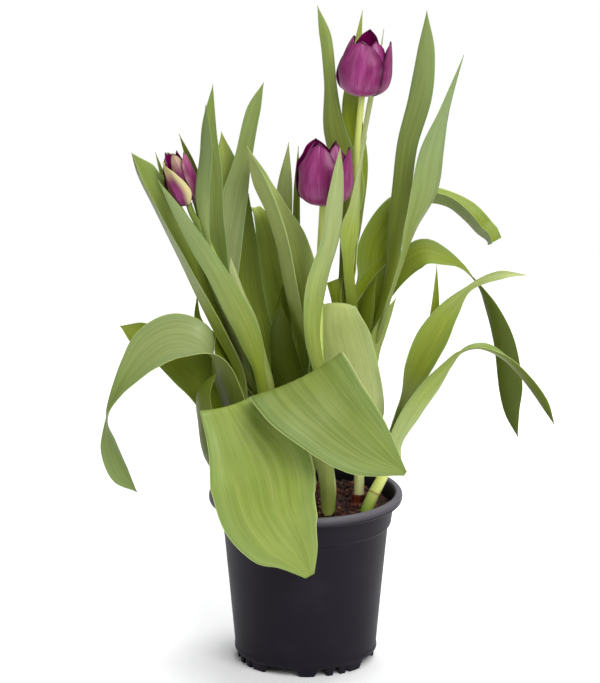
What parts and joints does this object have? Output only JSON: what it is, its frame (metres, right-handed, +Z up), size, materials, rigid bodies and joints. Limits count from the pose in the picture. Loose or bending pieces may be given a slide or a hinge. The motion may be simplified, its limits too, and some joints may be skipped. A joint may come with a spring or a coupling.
{
  "type": "potted tulip",
  "caption": "Flowering tulip plant with tall, arching and folded leaves in a round plastic nursery pot filled with peat.",
  "frame": {"origin": "under the middle of the plant's box, at the level of the pot's feet", "axes": "+Z up the pot's axis, -Y towards the front of the plant, +X to its right"},
  "size_m": [0.2788, 0.1498, 0.4076],
  "materials": {
    "pot_plastic": "satin black moulded plastic",
    "peat": "coarse dark peat",
    "bulb_skin": "papery brown bulb skin",
    "stem_green": "smooth pale green stem",
    "leaf_green": "waxy matte green leaf",
    "tepal_purple": "satin purple petal"
  },
  "bodies": {
    "root": {"bulb_bud": "bulb_skin", "bulb_centre": "bulb_skin", "bulb_top": "bulb_skin", "inner_tepal_bud_1": "tepal_purple", "inner_tepal_bud_2": "tepal_purple", "inner_tepal_bud_3": "tepal_purple", "inner_tepal_centre_1": "tepal_purple", "inner_tepal_centre_2": "tepal_purple", "inner_tepal_centre_3": "tepal_purple", "inner_tepal_top_1": "tepal_purple", "inner_tepal_top_2": "tepal_purple", "inner_tepal_top_3": "tepal_purple", "leaf_back_arching": "leaf_green", "leaf_back_hanging": "leaf_green", "leaf_back_second": "leaf_green", "leaf_back_tall": "leaf_green", "leaf_bud_back": "leaf_green", "leaf_bud_behind": "leaf_green", "leaf_bud_broad": "leaf_green", "leaf_bud_diagonal": "leaf_green", "leaf_bud_folded": "leaf_green", "leaf_bud_front": "leaf_green", "leaf_bud_low": "leaf_green", "leaf_bud_upper": "leaf_green", "leaf_centre_drooping": "leaf_green", "leaf_centre_front": "leaf_green", "leaf_left_arching": "leaf_green", "leaf_left_drooping": "leaf_green", "leaf_left_small": "leaf_green", "leaf_middle_broad": "leaf_green", "leaf_middle_folded": "leaf_green", "leaf_middle_left": "leaf_green", "leaf_middle_short": "leaf_green", "leaf_middle_slim": "leaf_green", "leaf_right_arching": "leaf_green", "leaf_right_spike": "leaf_green", "leaf_right_upper": "leaf_green", "leaf_top_behind": "leaf_green", "leaf_top_broad": "leaf_green", "leaf_top_clasping": "leaf_green", "leaf_top_left": "leaf_green", "leaf_top_right": "leaf_green", "outer_tepal_bud_1": "tepal_purple", "outer_tepal_bud_2": "tepal_purple", "outer_tepal_bud_3": "tepal_purple", "outer_tepal_centre_1": "tepal_purple", "outer_tepal_centre_2": "tepal_purple", "outer_tepal_centre_3": "tepal_purple", "outer_tepal_top_1": "tepal_purple", "outer_tepal_top_2": "tepal_purple", "outer_tepal_top_3": "tepal_purple", "pot": "pot_plastic", "shoot_back": "stem_green", "shoot_left": "stem_green", "shoot_middle": "stem_green", "shoot_right": "stem_green", "soil": "peat", "stem_bud": "stem_green", "stem_centre": "stem_green", "stem_top": "stem_green"}
  },
  "joints": []
}
